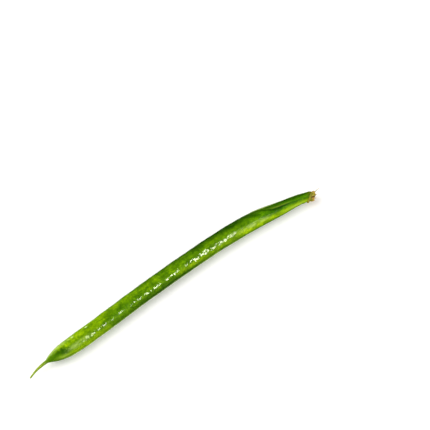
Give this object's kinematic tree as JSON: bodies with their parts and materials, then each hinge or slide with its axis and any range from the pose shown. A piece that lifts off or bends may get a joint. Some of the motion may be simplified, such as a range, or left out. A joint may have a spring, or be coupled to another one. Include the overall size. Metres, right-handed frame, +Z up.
{
  "type": "green bean",
  "caption": "Slender fresh green bean lying on its side, with a thin curved tail, two seams, faint seed swellings and a torn brown stem stub.",
  "frame": {"origin": "under the middle of the bounding box, on the surface that the bean lies on", "axes": "+X along the bean from its tail to its stem, +Y to the outside of its bow, +Z up"},
  "size_m": [0.1402, 0.0118, 0.0067],
  "materials": {
    "pod_skin": "smooth wet skin, mid green, faintly mottled, paler at the tail",
    "dry_stem": "dry torn tissue, tan with dark brown spots"
  },
  "bodies": {
    "root": {"pod": "pod_skin", "stem_stub": "dry_stem"}
  },
  "joints": []
}
